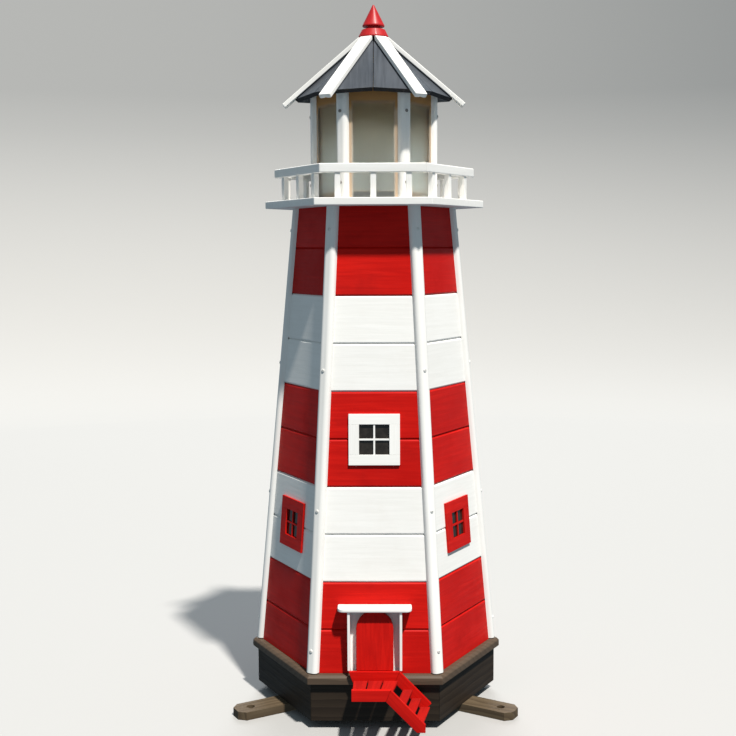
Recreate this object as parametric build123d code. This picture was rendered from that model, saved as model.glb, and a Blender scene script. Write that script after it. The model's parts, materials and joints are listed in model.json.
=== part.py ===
"""Six-sided wooden garden lighthouse with a lantern lamp under a lift-off roof.

Millimetres and degrees. +Z is up, the origin lies on the ground under the middle of
the tower, and the front face with the door looks along -Y.
Each sub-part is written to parts/NODE.step.
"""
import os
from math import atan, cos, degrees, radians, sin, tan

from build123d import *

os.makedirs("parts", exist_ok=True)

# ---------------------------------------------------------------- driving dimensions

# Anchor lugs under the plinth
LUG_THICKNESS = 16
LUG_WIDTH = 50
LUG_GRIP = 64
LUG_CORNER_CUT = 13
LUG_END_MARGIN = 32
ANCHOR_HOLE_OUTSET = 72.1
ANCHOR_HOLE_DIAMETER = 16
LUG_SCREW_SPACING = 30

# Base: its corners stand out from those of the tower
SLAB_MARGIN = 16
SLAB_OVERHANG = 11
PLINTH_BOARD = 18
PLINTH_HEIGHT = 75
SLAB_THICKNESS = 18
SLAB_BEVEL = 5
CABLE_HOLE_DIAMETER = 20

# Tower: corner radii of the board faces at its foot and at its head
TOWER_FOOT_RADIUS = 242
TOWER_HEAD_RADIUS = 158
FIRST_COURSE = 83.5
COURSE = 91
LAST_COURSE = 79.5
COURSES = 10
BOARD_THICKNESS = 14
V_GROOVE = 3
TONGUE_THICKNESS = 4
TONGUE_HEIGHT = 5
TONGUE_CLEARANCE = 0.3
CORNER_GAP = 5

# Tower frame
TOWER_POST_LEG = 28
TOWER_POST_DEPTH = 20
RING_BAR_HEIGHT = 30
RING_BAR_DEPTH = 18
BAR_END_GAP = 0.5

# Corner battens of the tower, and the like strips of the lantern
BATTEN_WIDTH = 24
BATTEN_PROUD = 6
BATTEN_ROUNDING = 8.5
BATTEN_FOOT_GAP = 2
BATTEN_SCREWS = 4
BATTEN_SCREW_MARGIN = 44
STRIP_WIDTH = 24
STRIP_PROUD = 6
STRIP_ROUNDING = 8.5

# Screws
SCREW_DIAMETER = 3.5
SCREW_HEAD_DIAMETER = 6.4
SCREW_HEAD_HEIGHT = 1.8
SCREW_HEAD_ROUNDING = 1.2
SCREW_CLEARANCE = 0.1
BATTEN_SCREW_LENGTH = 38
STRIP_SCREW_LENGTH = 25
LUG_SCREW_LENGTH = 45
LUG_SCREW_SEAT = 4

# Windows
WINDOW_SIZE = 98
WINDOW_FRAME_THICKNESS = 4.5
WHITE_WINDOW_OPENING = 58
RED_WINDOW_OPENING = 51
MUNTIN_WIDTH = 3.5
MUNTIN_THICKNESS = 3
PANE_THICKNESS = 3
PANE_LAP = 6
PANE_CLEARANCE = 0.3
WHITE_WINDOW_COURSE_COUNT = 5
RED_WINDOW_COURSE_COUNT = 3

# Door and porch
DOOR_WIDTH = 71
DOOR_THICKNESS = 15
DOOR_HEADROOM = 2.5
BACK_PANEL_THICKNESS = 3
PORCH_WIDTH = 104
PORCH_SIDE_THICKNESS = 5
PORCH_SIDE_DEPTH_TOP = 29
PORCH_SIDE_DEPTH_FOOT = 18
CANOPY_UNDERSIDE = 126
CANOPY_LENGTH = 141
CANOPY_DEPTH = 32
CANOPY_THICKNESS = 7
CANOPY_CORNER = 12

# Stair: its landing hangs on the front edge of the slab, its flight runs down to +X
STAIR_RAIL_HEIGHT = 22
STAIR_RAIL_THICKNESS = 8
STAIR_RAIL_RISE = 11
LANDING_DEPTH = 84
LANDING_LEFT = -42
RAIL_END_SLANT = 8
BACK_BEND = 47
FRONT_BEND = 30
STAIR_SLOPE = 46
FLIGHT_LENGTH = 87
FRONT_FLIGHT_LENGTH = 91
PLANK_THICKNESS = 5
PLANK_GAP = 2.5
PLANKS = 3
PLANK_END_SETBACK = 2
TREADS = 3
TREAD_WIDTH = 18
TREAD_RISE = 17
TREAD_THICKNESS = 4
TREAD_SETBACK = 8

# Balcony
DECK_RADIUS = 220
DECK_THICKNESS = 14
LAMP_CABLE_HOLE = 12
HANDRAIL_RADIUS = 201
HANDRAIL_WIDTH = 16
HANDRAIL_HEIGHT = 17
RAILING_CLEAR_HEIGHT = 47
BALUSTER_SIZE = 11
BALUSTERS_PER_SIDE = 3

# Lantern
LANTERN_RADIUS = 121
LANTERN_HEIGHT = 208
LANTERN_PANE_THICKNESS = 3
LANTERN_RING_WIDTH = 16
LANTERN_SILL_HEIGHT = 16
LANTERN_HEAD_HEIGHT = 24
LANTERN_POST_LEG = 18
LANTERN_POST_DEPTH = 12
LANTERN_SCREW_MARGIN_FOOT = 32
LANTERN_SCREW_MARGIN_HEAD = 41

# Lamp
HOLDER_BASE_RADIUS = 26
HOLDER_BASE_HEIGHT = 7
HOLDER_RADIUS = 20
HOLDER_HEIGHT = 46
HOLDER_WALL = 3
BULB_RADIUS = 30
BULB_NECK_RADIUS = 14.5
BULB_CAP_RADIUS = 13
BULB_CAP_LENGTH = 24
BULB_NECK_LENGTH = 34
BULB_SEAT_GAP = 0.3

# Roof
HIP_SLOPE = 40.2
EAVE_RADIUS = 159
ROOF_BOARD = 9
SEAM_SETBACK = 8
BOARD_GAP = 1.2
ROOF_EYE = 9
HIP_BATTEN_WIDTH = 25
HIP_BATTEN_THICKNESS = 9
HIP_BATTEN_SEAT = 1.5
HIP_BATTEN_TIP = 177
HIP_BATTEN_INNER_END = 25
REST_RING_HEIGHT = 17
LOCATING_CLEARANCE = 1.5
LOCATING_BLOCK_LENGTH = 40
LOCATING_BLOCK_THICKNESS = 12
LOCATING_DEPTH = 13
LOCATING_GRIP = 22
KING_BLOCK_RADIUS = 38
KING_BLOCK_DEPTH = 30

# Finial
FINIAL_BASE_RADIUS = 30
FINIAL_COLLAR_RADIUS = 23
FINIAL_COLLAR_HEIGHT = 16
FINIAL_NECK_RADIUS = 13.5
FINIAL_NECK_HEIGHT = 6
FINIAL_CONE_RADIUS = 22
FINIAL_CONE_HEIGHT = 42.5
FINIAL_TIP_RADIUS = 1.5
FINIAL_LIP = 2.5
FINIAL_SCREW_DIAMETER = 6
FINIAL_SCREW_LENGTH = 50
FINIAL_SCREW_BITE = 22

# Cable gland in the rear plinth board
GLAND_BORE_RADIUS = 4
GLAND_TUBE_RADIUS = 7.5
GLAND_NUT_RADIUS = 12
GLAND_NUT_LENGTH = 8
GLAND_HEIGHT = 40
GLAND_CLEARANCE = 0.3

# ---------------------------------------------------------------- derived dimensions

SIDES = 6
HALF_SIDE = 180 / SIDES
FLAT = cos(radians(HALF_SIDE))
FACE_NAMES = ("front", "front_right", "rear_right", "rear", "rear_left", "front_left")
CORNER_NAMES = ("front_left", "front_right", "right", "rear_right", "rear_left", "left")
FRONT = -90
REAR = 90
FIRST_CORNER = FRONT - HALF_SIDE
LUG_ANGLES = {"front_left": -150, "front_right": -30, "rear": REAR}

PLINTH_FOOT = LUG_THICKNESS
SLAB_RADIUS = TOWER_FOOT_RADIUS + SLAB_MARGIN
PLINTH_FLAT = (SLAB_RADIUS - SLAB_OVERHANG) * FLAT
ANCHOR_HOLE_RADIUS = PLINTH_FLAT + ANCHOR_HOLE_OUTSET
LUG_INNER_END = PLINTH_FLAT - LUG_GRIP
LUG_OUTER_END = ANCHOR_HOLE_RADIUS + LUG_END_MARGIN
SLAB_FOOT = PLINTH_FOOT + PLINTH_HEIGHT
SLAB_TOP = SLAB_FOOT + SLAB_THICKNESS
TOWER_HEIGHT = FIRST_COURSE + (COURSES - 2) * COURSE + LAST_COURSE
TOWER_TOP = SLAB_TOP + TOWER_HEIGHT
TAPER = (TOWER_FOOT_RADIUS - TOWER_HEAD_RADIUS) / TOWER_HEIGHT
FACE_LEAN = degrees(atan(TAPER * FLAT))
CORNER_LEAN = degrees(atan(TAPER))

DECK_TOP = TOWER_TOP + DECK_THICKNESS
LANTERN_TOP = DECK_TOP + LANTERN_HEIGHT
LANTERN_FRAME_FLAT = LANTERN_RADIUS * FLAT - LANTERN_PANE_THICKNESS
LANTERN_RING_INNER_FLAT = LANTERN_FRAME_FLAT - LANTERN_RING_WIDTH

FACET_RISE = tan(radians(HIP_SLOPE)) / FLAT
FACET_SLOPE = degrees(atan(FACET_RISE))
ROOF_BOARD_UPRIGHT = ROOF_BOARD / cos(radians(FACET_SLOPE))
ROOF_APEX = LANTERN_TOP + REST_RING_HEIGHT + LANTERN_FRAME_FLAT * FACET_RISE + ROOF_BOARD_UPRIGHT
HIP_RISE = tan(radians(HIP_SLOPE))
HIP_BATTEN_TOP = ROOF_APEX + (HIP_BATTEN_THICKNESS - HIP_BATTEN_SEAT) / cos(radians(HIP_SLOPE))
FINIAL_SEAT = HIP_BATTEN_TOP - FINIAL_BASE_RADIUS * HIP_RISE

ON_PLANE = (Align.CENTER, Align.CENTER, Align.MIN)
UNDER_PLANE = (Align.CENTER, Align.CENTER, Align.MAX)
SKY = 2 * ROOF_APEX
SHANK_RADIUS = SCREW_DIAMETER / 2
PILOT_RADIUS = SHANK_RADIUS + SCREW_CLEARANCE


# ---------------------------------------------------------------- helpers

def polar(radius, angle, z=0):
    """Point at a radius and an angle about the axis."""
    return Vector(radius * cos(radians(angle)), radius * sin(radians(angle)), z)


def solids_of(shape):
    """The separate solids of a shape, as a list."""
    return list(shape.solids())


def save(node, *shapes):
    """Write one sub-part, a single solid or a group of separate ones."""
    pieces = [solid for shape in shapes for solid in solids_of(shape)]
    export_step(Compound(children=pieces), f"parts/{node}.step")


def around(shape, count=SIDES):
    """Copies of a shape, evenly turned about the axis."""
    return [Rot(0, 0, turn * 360 / count) * shape for turn in range(count)]


def hexagon_prism(radius, low, high):
    """Six-sided prism with a corner on +X."""
    corners = [polar(radius, side * 360 / SIDES) for side in range(SIDES)]
    outline = Polygon(*[(corner.X, corner.Y) for corner in corners], align=None)
    return extrude(Pos(0, 0, low) * outline, amount=high - low)


def radial_slab(profile, angle, width):
    """Solid of a (radius, height) profile, centred on the direction of an angle."""
    outward = polar(1, angle)
    plane = Plane(origin=(0, 0, 0), x_dir=outward, z_dir=outward.cross(Vector(0, 0, 1)))
    return extrude(plane * Polygon(*profile, align=None), amount=width / 2, both=True)


def wedge(angle_from, angle_to, gap):
    """Upright wedge about the axis, held back by half a gap on both of its sides."""
    middle = (angle_from + angle_to) / 2
    half = (angle_to - angle_from) / 2
    tip = polar(gap / 2 / sin(radians(half)), middle)
    reach = 2 * LUG_OUTER_END
    outline = [tip, tip + polar(reach, angle_from), tip + polar(reach, angle_to)]
    return extrude(Polygon(*[(p.X, p.Y) for p in outline], align=None), amount=SKY)


def mitred_side(profile, gap=0):
    """The front one of six like pieces that meet at the corners, from its profile."""
    reach = 2 * max(radius for radius, _ in profile)
    whole = radial_slab(profile, FRONT, reach)
    return whole & wedge(FRONT - HALF_SIDE, FRONT + HALF_SIDE, gap)


def corner_prism(section, foot_radius, foot, head_radius, head):
    """Leaning prism on the +X corner: its level section is in (outward, sideways)."""
    outline = Pos(foot_radius, 0, foot) * Polygon(*section, align=None)
    run = Vector(head_radius - foot_radius, 0, head - foot)
    return extrude(outline, amount=run.length, dir=run)


def to_corner(shape, index):
    """A shape made on +X, turned to one of the named corners."""
    return Rot(0, 0, FIRST_CORNER + index * 360 / SIDES) * shape


def corner_strip_section(width, proud):
    """Flat strip with a V back that fits on a corner of two faces."""
    half = width / 2
    back = -half * tan(radians(HALF_SIDE))
    return [(proud, -half), (proud, half), (back, half), (0, 0), (back, -half)]


def corner_post_section(leg, depth):
    """Post in a corner between two faces: leg along each face, depth inwards."""
    along = Vector(-sin(radians(HALF_SIDE)), cos(radians(HALF_SIDE)))
    inward = Vector(-cos(radians(HALF_SIDE)), -sin(radians(HALF_SIDE)))
    far = along * leg
    back = far + inward * depth
    return [(0, 0), (far.X, far.Y), (back.X, back.Y), (back.X, -back.Y), (far.X, -far.Y)]


def long_edges(shape, outer_radius_at, proud):
    """The two long edges of a strip's outer face."""
    return [
        edge for edge in shape.edges()
        if abs(edge.center().X - outer_radius_at(edge.center().Z) - proud) < 0.01
        and edge.bounding_box().size.Z > edge.bounding_box().size.Y
    ]


def screw(seat, length):
    """Pan head screw: its head sits on the plane and its shank runs behind it."""
    head = Cylinder(SCREW_HEAD_DIAMETER / 2, SCREW_HEAD_HEIGHT, align=ON_PLANE)
    head = fillet(head.edges().sort_by(Axis.Z)[-1], SCREW_HEAD_ROUNDING)
    shank = Cylinder(SHANK_RADIUS, length, align=UNDER_PLANE)
    return seat * (head + shank)


def pilot(seat, length, radius=PILOT_RADIUS):
    """Hole for a screw: it starts outside the plane and runs behind it."""
    return seat * Cylinder(radius, 2 * length)


def tower_radius(z):
    """Corner radius of the tower's board faces at a height."""
    return TOWER_FOOT_RADIUS - (z - SLAB_TOP) * TAPER


def tower_flat(z):
    """Distance from the axis to a board face at a height."""
    return tower_radius(z) * FLAT


def frame_flat(z):
    """Distance from the axis to the back of the boards at a height."""
    return tower_flat(z) - BOARD_THICKNESS


def course_joint(number):
    """Height of the joint on top of a course, counted from the bottom."""
    if number == 0:
        return SLAB_TOP
    if number == COURSES:
        return TOWER_TOP
    return SLAB_TOP + FIRST_COURSE + (number - 1) * COURSE


def face_plane(angle, z):
    """Plane on a board face: x to the right seen from outside, y up, z outwards."""
    outward = polar(cos(radians(FACE_LEAN)), angle, sin(radians(FACE_LEAN)))
    sideways = Vector(0, 0, 1).cross(outward).normalized()
    return Plane(origin=polar(tower_flat(z), angle, z), x_dir=sideways, z_dir=outward)


# ---------------------------------------------------------------- base

def lug_screw_seats():
    """Seats in the underside of the front right lug, under its plinth board."""
    radius = PLINTH_FLAT - PLINTH_BOARD / 2
    seats = []
    for side in (-0.5, 0.5):
        spot = polar(radius, 0) + Vector(0, side * LUG_SCREW_SPACING, LUG_SCREW_SEAT)
        seats.append(Plane(origin=spot, x_dir=(1, 0, 0), z_dir=(0, 0, -1)))
    return seats


def make_lugs():
    half = LUG_WIDTH / 2
    outline = Polygon(
        (LUG_INNER_END, -half),
        (LUG_OUTER_END - LUG_CORNER_CUT, -half),
        (LUG_OUTER_END, -half + LUG_CORNER_CUT),
        (LUG_OUTER_END, half - LUG_CORNER_CUT),
        (LUG_OUTER_END - LUG_CORNER_CUT, half),
        (LUG_INNER_END, half),
        align=None,
    )
    lug = extrude(outline, amount=LUG_THICKNESS)
    anchor = Cylinder(ANCHOR_HOLE_DIAMETER / 2, 4 * LUG_THICKNESS)
    lug -= Pos(ANCHOR_HOLE_RADIUS, 0, 0) * anchor
    screws = []
    for seat in lug_screw_seats():
        lug -= pilot(seat, LUG_SCREW_LENGTH)
        lug -= pilot(seat, LUG_SCREW_SEAT, SCREW_HEAD_DIAMETER / 2 + SCREW_CLEARANCE)
        screws.append(screw(seat, LUG_SCREW_LENGTH))
    all_screws = []
    for name, angle in LUG_ANGLES.items():
        save(f"anchor_lug_{name}", Rot(0, 0, angle) * lug)
        all_screws += [Rot(0, 0, angle) * one for one in screws]
    save("anchor_lug_screws", *all_screws)


def gland_seat():
    """Outer face of the rear plinth board, where the cable comes in."""
    spot = polar(PLINTH_FLAT, REAR, GLAND_HEIGHT + PLINTH_FOOT)
    return Plane(origin=spot, x_dir=(1, 0, 0), z_dir=polar(1, REAR))


def make_plinth():
    profile = [
        (PLINTH_FLAT - PLINTH_BOARD, PLINTH_FOOT),
        (PLINTH_FLAT, PLINTH_FOOT),
        (PLINTH_FLAT, SLAB_FOOT),
        (PLINTH_FLAT - PLINTH_BOARD, SLAB_FOOT),
    ]
    boards = []
    for name, board in zip(FACE_NAMES, around(mitred_side(profile))):
        if name in LUG_ANGLES:
            for seat in lug_screw_seats():
                board -= Rot(0, 0, LUG_ANGLES[name]) * pilot(seat, LUG_SCREW_LENGTH + SCREW_CLEARANCE)
        if name == "rear":
            board -= pilot(gland_seat(), 2 * PLINTH_BOARD, GLAND_TUBE_RADIUS + GLAND_CLEARANCE)
        boards.append(board)
    save("plinth_boards", *boards)


def make_gland():
    nut = Cylinder(GLAND_NUT_RADIUS, GLAND_NUT_LENGTH, align=ON_PLANE)
    nut = chamfer(nut.edges().sort_by(Axis.Z)[-1], GLAND_NUT_LENGTH / 4)
    tube = Cylinder(GLAND_TUBE_RADIUS, PLINTH_BOARD, align=UNDER_PLANE)
    locknut = Cylinder(GLAND_NUT_RADIUS, GLAND_NUT_LENGTH / 2, align=UNDER_PLANE)
    body = nut + tube + Pos(0, 0, -PLINTH_BOARD) * locknut
    body -= Cylinder(GLAND_BORE_RADIUS, 4 * PLINTH_BOARD)
    save("cable_gland", gland_seat() * body)


def make_slab():
    slab = hexagon_prism(SLAB_RADIUS, SLAB_FOOT, SLAB_TOP)
    slab = chamfer(slab.faces().sort_by(Axis.Z)[-1].edges(), SLAB_BEVEL)
    slab -= Pos(0, 0, SLAB_TOP) * Cylinder(CABLE_HOLE_DIAMETER / 2, 4 * SLAB_THICKNESS)
    save("base_slab", slab)


# ---------------------------------------------------------------- tower

def batten_screw_seats():
    """Seats on the outer face of the batten on the +X corner."""
    first = SLAB_TOP + BATTEN_SCREW_MARGIN
    last = TOWER_TOP - BATTEN_SCREW_MARGIN
    outward = Vector(cos(radians(CORNER_LEAN)), 0, sin(radians(CORNER_LEAN)))
    seats = []
    for number in range(BATTEN_SCREWS):
        z = first + (last - first) * number / (BATTEN_SCREWS - 1)
        spot = Vector(tower_radius(z) + BATTEN_PROUD, 0, z)
        seats.append(Plane(origin=spot, x_dir=(0, 1, 0), z_dir=outward))
    return seats


def make_tower_frame():
    section = corner_post_section(TOWER_POST_LEG, TOWER_POST_DEPTH)
    post = corner_prism(
        section,
        frame_flat(SLAB_TOP) / FLAT,
        SLAB_TOP,
        frame_flat(TOWER_TOP) / FLAT,
        TOWER_TOP,
    )
    for seat in batten_screw_seats():
        post -= pilot(seat, BATTEN_SCREW_LENGTH + SCREW_CLEARANCE)
    save("tower_corner_posts", *around(post))
    for name, low in (("bottom", SLAB_TOP), ("top", TOWER_TOP - RING_BAR_HEIGHT)):
        high = low + RING_BAR_HEIGHT
        profile = [
            (frame_flat(high) - RING_BAR_DEPTH, low),
            (frame_flat(low), low),
            (frame_flat(high), high),
            (frame_flat(high) - RING_BAR_DEPTH, high),
        ]
        length = frame_flat(high) / FLAT - 2 * TOWER_POST_LEG - 2 * BAR_END_GAP
        save(f"tower_ring_{name}", *around(radial_slab(profile, FRONT, length)))


def course_profile(number):
    """Section of one profile board: V-grooved edges, tongue above, groove below."""
    low = course_joint(number - 1)
    high = course_joint(number)
    inner_low = frame_flat(low)
    inner_high = frame_flat(high)
    middle_low = inner_low + BOARD_THICKNESS / 2
    middle_high = inner_high + BOARD_THICKNESS / 2
    slot = TONGUE_THICKNESS / 2 + TONGUE_CLEARANCE
    depth = TONGUE_HEIGHT + TONGUE_CLEARANCE
    tongue = TONGUE_THICKNESS / 2
    profile = [(inner_low, low)]
    if number > 1:
        profile += [
            (middle_low - slot, low),
            (middle_low - slot, low + depth),
            (middle_low + slot, low + depth),
            (middle_low + slot, low),
            (tower_flat(low) - V_GROOVE, low),
            (tower_flat(low + V_GROOVE), low + V_GROOVE),
        ]
    else:
        profile.append((tower_flat(low), low))
    if number < COURSES:
        profile += [
            (tower_flat(high - V_GROOVE), high - V_GROOVE),
            (tower_flat(high) - V_GROOVE, high),
            (middle_high + tongue, high),
            (middle_high + tongue, high + TONGUE_HEIGHT),
            (middle_high - tongue, high + TONGUE_HEIGHT),
            (middle_high - tongue, high),
        ]
    else:
        profile.append((tower_flat(high), high))
    profile.append((inner_high, high))
    return profile


def window_style(index):
    """Joint number and opening of the window on a face: white on two faces, red on four."""
    if index % 3 == 0:
        return WHITE_WINDOW_COURSE_COUNT, WHITE_WINDOW_OPENING
    return RED_WINDOW_COURSE_COUNT, RED_WINDOW_OPENING


def window_plane(index):
    """Plane at the middle of a window, on the face that it sits on."""
    joint, _ = window_style(index)
    return face_plane(FRONT + index * 360 / SIDES, course_joint(joint))


def window_hole(index):
    """Square hole through the boards behind a window."""
    _, opening = window_style(index)
    size = opening + 2 * PANE_LAP
    return window_plane(index) * Box(size, size, 4 * BOARD_THICKNESS)


def make_courses():
    for number in range(1, COURSES + 1):
        board = mitred_side(course_profile(number), CORNER_GAP)
        boards = []
        for index, side in enumerate(around(board)):
            joint, _ = window_style(index)
            if number in (joint, joint + 1):
                side -= window_hole(index)
            boards.append(side)
        save(f"cover_course_{number:02d}", *boards)


def make_corner_battens():
    foot = SLAB_TOP + BATTEN_FOOT_GAP
    batten = corner_prism(
        corner_strip_section(BATTEN_WIDTH, BATTEN_PROUD),
        tower_radius(foot),
        foot,
        tower_radius(TOWER_TOP),
        TOWER_TOP,
    )
    batten = fillet(long_edges(batten, tower_radius, BATTEN_PROUD), BATTEN_ROUNDING)
    screws = []
    for seat in batten_screw_seats():
        batten -= pilot(seat, BATTEN_SCREW_LENGTH)
        screws.append(screw(seat, BATTEN_SCREW_LENGTH))
    for index, name in enumerate(CORNER_NAMES):
        save(f"corner_batten_{name}", to_corner(batten, index))
    save("corner_batten_screws", *[turned for one in screws for turned in around(one)])


# ---------------------------------------------------------------- windows

def window_bars(opening):
    """Four bars of a square frame, lying on the plane of the face."""
    bar = (WINDOW_SIZE - opening) / 2
    offset = (WINDOW_SIZE - bar) / 2
    rail = Box(WINDOW_SIZE, bar, WINDOW_FRAME_THICKNESS, align=ON_PLANE)
    stile = Box(bar, opening, WINDOW_FRAME_THICKNESS, align=ON_PLANE)
    bars = []
    for side in (-1, 1):
        bars.append(Pos(0, side * offset, 0) * rail)
        bars.append(Pos(side * offset, 0, 0) * stile)
    return bars


def make_windows():
    frames = {"white": [], "red": []}
    muntins = {"white": [], "red": []}
    panes = []
    for index in range(SIDES):
        plane = window_plane(index)
        _, opening = window_style(index)
        colour = "white" if opening == WHITE_WINDOW_OPENING else "red"
        frames[colour] += [plane * bar for bar in window_bars(opening)]
        cross = Box(opening, MUNTIN_WIDTH, MUNTIN_THICKNESS, align=ON_PLANE)
        cross += Box(MUNTIN_WIDTH, opening, MUNTIN_THICKNESS, align=ON_PLANE)
        muntins[colour].append(plane * cross)
        size = opening + 2 * PANE_LAP - 2 * PANE_CLEARANCE
        panes.append(plane * Box(size, size, PANE_THICKNESS, align=UNDER_PLANE))
    for colour in frames:
        save(f"window_frames_{colour}", *frames[colour])
        save(f"window_muntins_{colour}", *muntins[colour])
    save("window_panes", *panes)


# ---------------------------------------------------------------- door and porch

RAIL_TOP = SLAB_TOP + STAIR_RAIL_RISE
CANOPY_FOOT = SLAB_TOP + CANOPY_UNDERSIDE
PANEL_WIDTH = PORCH_WIDTH - 2 * PORCH_SIDE_THICKNESS


def make_door():
    panel = [
        (tower_flat(SLAB_TOP), SLAB_TOP),
        (tower_flat(SLAB_TOP) + BACK_PANEL_THICKNESS, SLAB_TOP),
        (tower_flat(CANOPY_FOOT) + BACK_PANEL_THICKNESS, CANOPY_FOOT),
        (tower_flat(CANOPY_FOOT), CANOPY_FOOT),
    ]
    save("door_back_panel", radial_slab(panel, FRONT, PANEL_WIDTH))
    height = (CANOPY_UNDERSIDE - DOOR_HEADROOM) / cos(radians(FACE_LEAN))
    arch = DOOR_WIDTH / 2
    outline = Pos(0, (height - arch) / 2) * Rectangle(DOOR_WIDTH, height - arch)
    outline += Pos(0, height - arch) * Circle(arch)
    door = extrude(outline, amount=DOOR_THICKNESS)
    door = face_plane(FRONT, SLAB_TOP) * Pos(0, 0, BACK_PANEL_THICKNESS) * door
    save("door", door - Box(SKY, SKY, RAIL_TOP, align=ON_PLANE))


def make_porch():
    side = [
        (tower_flat(RAIL_TOP), RAIL_TOP),
        (tower_flat(RAIL_TOP) + PORCH_SIDE_DEPTH_FOOT, RAIL_TOP),
        (tower_flat(CANOPY_FOOT) + PORCH_SIDE_DEPTH_TOP, CANOPY_FOOT),
        (tower_flat(CANOPY_FOOT), CANOPY_FOOT),
    ]
    board = radial_slab(side, FRONT, PORCH_SIDE_THICKNESS)
    offset = (PORCH_WIDTH - PORCH_SIDE_THICKNESS) / 2
    save("porch_side_left", Pos(-offset, 0, 0) * board)
    save("porch_side_right", Pos(offset, 0, 0) * board)
    top = CANOPY_FOOT + CANOPY_THICKNESS
    profile = [
        (tower_flat(CANOPY_FOOT), CANOPY_FOOT),
        (tower_flat(CANOPY_FOOT) + CANOPY_DEPTH, CANOPY_FOOT),
        (tower_flat(CANOPY_FOOT) + CANOPY_DEPTH, top),
        (tower_flat(top), top),
    ]
    canopy = radial_slab(profile, FRONT, CANOPY_LENGTH)
    front_corners = canopy.edges().filter_by(Axis.Z)
    save("porch_canopy", fillet(front_corners, CANOPY_CORNER))


# ---------------------------------------------------------------- stair

STAIR_BACK = -SLAB_RADIUS * FLAT
SLOPE_RUN = cos(radians(STAIR_SLOPE))
SLOPE_DROP = sin(radians(STAIR_SLOPE))
MITRE = STAIR_RAIL_HEIGHT * tan(radians(STAIR_SLOPE / 2))


def upright_board(points, back):
    """Board in the XZ plane: its back face at y = back, its thickness towards -Y."""
    plane = Plane(origin=(0, back, 0), x_dir=(1, 0, 0), z_dir=(0, -1, 0))
    outline = plane * Polygon(*points, align=None)
    return extrude(outline, amount=STAIR_RAIL_THICKNESS, dir=(0, -1, 0))


def stair_side(bend, left_slant, length, level_foot, back):
    """One side of the stair: a level rail and a sloping stringer, mitred at the bend."""
    foot = RAIL_TOP - STAIR_RAIL_HEIGHT
    mitre = [(bend - MITRE, foot), (bend, RAIL_TOP)]
    rail = [(LANDING_LEFT, foot)] + mitre + [(LANDING_LEFT - left_slant, RAIL_TOP)]
    tip = (bend + length * SLOPE_RUN, RAIL_TOP - length * SLOPE_DROP)
    square_end = (tip[0] - STAIR_RAIL_HEIGHT * SLOPE_DROP, tip[1] - STAIR_RAIL_HEIGHT * SLOPE_RUN)
    nose = [(tip[0], square_end[1])] if level_foot else []
    stringer = mitre + [tip] + nose + [square_end]
    return [upright_board(rail, back), upright_board(stringer, back)]


def between(low, high, share):
    """Value at a share of the way from low to high."""
    return low + (high - low) * share


def make_stair():
    front_back = STAIR_BACK - STAIR_RAIL_THICKNESS - LANDING_DEPTH
    save("stair_back_side", *stair_side(BACK_BEND, RAIL_END_SLANT, FLIGHT_LENGTH, False, STAIR_BACK))
    save("stair_front_side", *stair_side(FRONT_BEND, 0, FRONT_FLIGHT_LENGTH, True, front_back))

    plank_foot = RAIL_TOP - STAIR_RAIL_HEIGHT
    inner_back = STAIR_BACK - STAIR_RAIL_THICKNESS
    rows = ((LANDING_LEFT, BACK_BEND, inner_back), (LANDING_LEFT, FRONT_BEND, front_back))
    planks = []
    for number in range(PLANKS):
        corners = []
        for left, right, y in rows:
            end = right - PLANK_END_SETBACK
            gap = PLANK_GAP / 2
            corners.append((
                (between(left, end, number / PLANKS) + gap, y),
                (between(left, end, (number + 1) / PLANKS) - gap, y),
            ))
        outline = [corners[0][0], corners[0][1], corners[1][1], corners[1][0]]
        plank = Pos(0, 0, plank_foot) * Polygon(*outline, align=None)
        planks.append(extrude(plank, amount=PLANK_THICKNESS, dir=(0, 0, 1)))
    save("landing_planks", *planks)

    skew = Vector(FRONT_BEND - BACK_BEND, -LANDING_DEPTH, 0)
    treads = []
    for number in range(1, TREADS + 1):
        top = plank_foot + PLANK_THICKNESS - number * TREAD_RISE
        front = BACK_BEND + (RAIL_TOP - top) / tan(radians(STAIR_SLOPE)) - TREAD_SETBACK
        end = Plane(origin=(front, inner_back, top), x_dir=(1, 0, 0), z_dir=(0, -1, 0))
        outline = end * Rectangle(TREAD_WIDTH, TREAD_THICKNESS, align=(Align.MAX, Align.MAX))
        treads.append(extrude(outline, amount=skew.length, dir=skew))
    save("stair_treads", *treads)


# ---------------------------------------------------------------- balcony

def make_balcony():
    deck = hexagon_prism(DECK_RADIUS, TOWER_TOP, DECK_TOP)
    deck -= Pos(0, 0, DECK_TOP) * Cylinder(LAMP_CABLE_HOLE / 2, 4 * DECK_THICKNESS)
    save("balcony_deck", deck)
    rail_foot = DECK_TOP + RAILING_CLEAR_HEIGHT
    flat = HANDRAIL_RADIUS * FLAT
    profile = [
        (flat - HANDRAIL_WIDTH, rail_foot),
        (flat, rail_foot),
        (flat, rail_foot + HANDRAIL_HEIGHT),
        (flat - HANDRAIL_WIDTH, rail_foot + HANDRAIL_HEIGHT),
    ]
    save("balcony_handrail", *around(mitred_side(profile)))
    centre = flat - HANDRAIL_WIDTH / 2
    spacing = HANDRAIL_RADIUS / BALUSTERS_PER_SIDE
    balusters = []
    for number in range(BALUSTERS_PER_SIDE):
        offset = (number - (BALUSTERS_PER_SIDE - 1) / 2) * spacing
        bar = Box(BALUSTER_SIZE, BALUSTER_SIZE, RAILING_CLEAR_HEIGHT, align=ON_PLANE)
        balusters += around(Pos(offset, -centre, DECK_TOP) * bar)
    save("balcony_balusters", *balusters)


# ---------------------------------------------------------------- lantern

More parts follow.
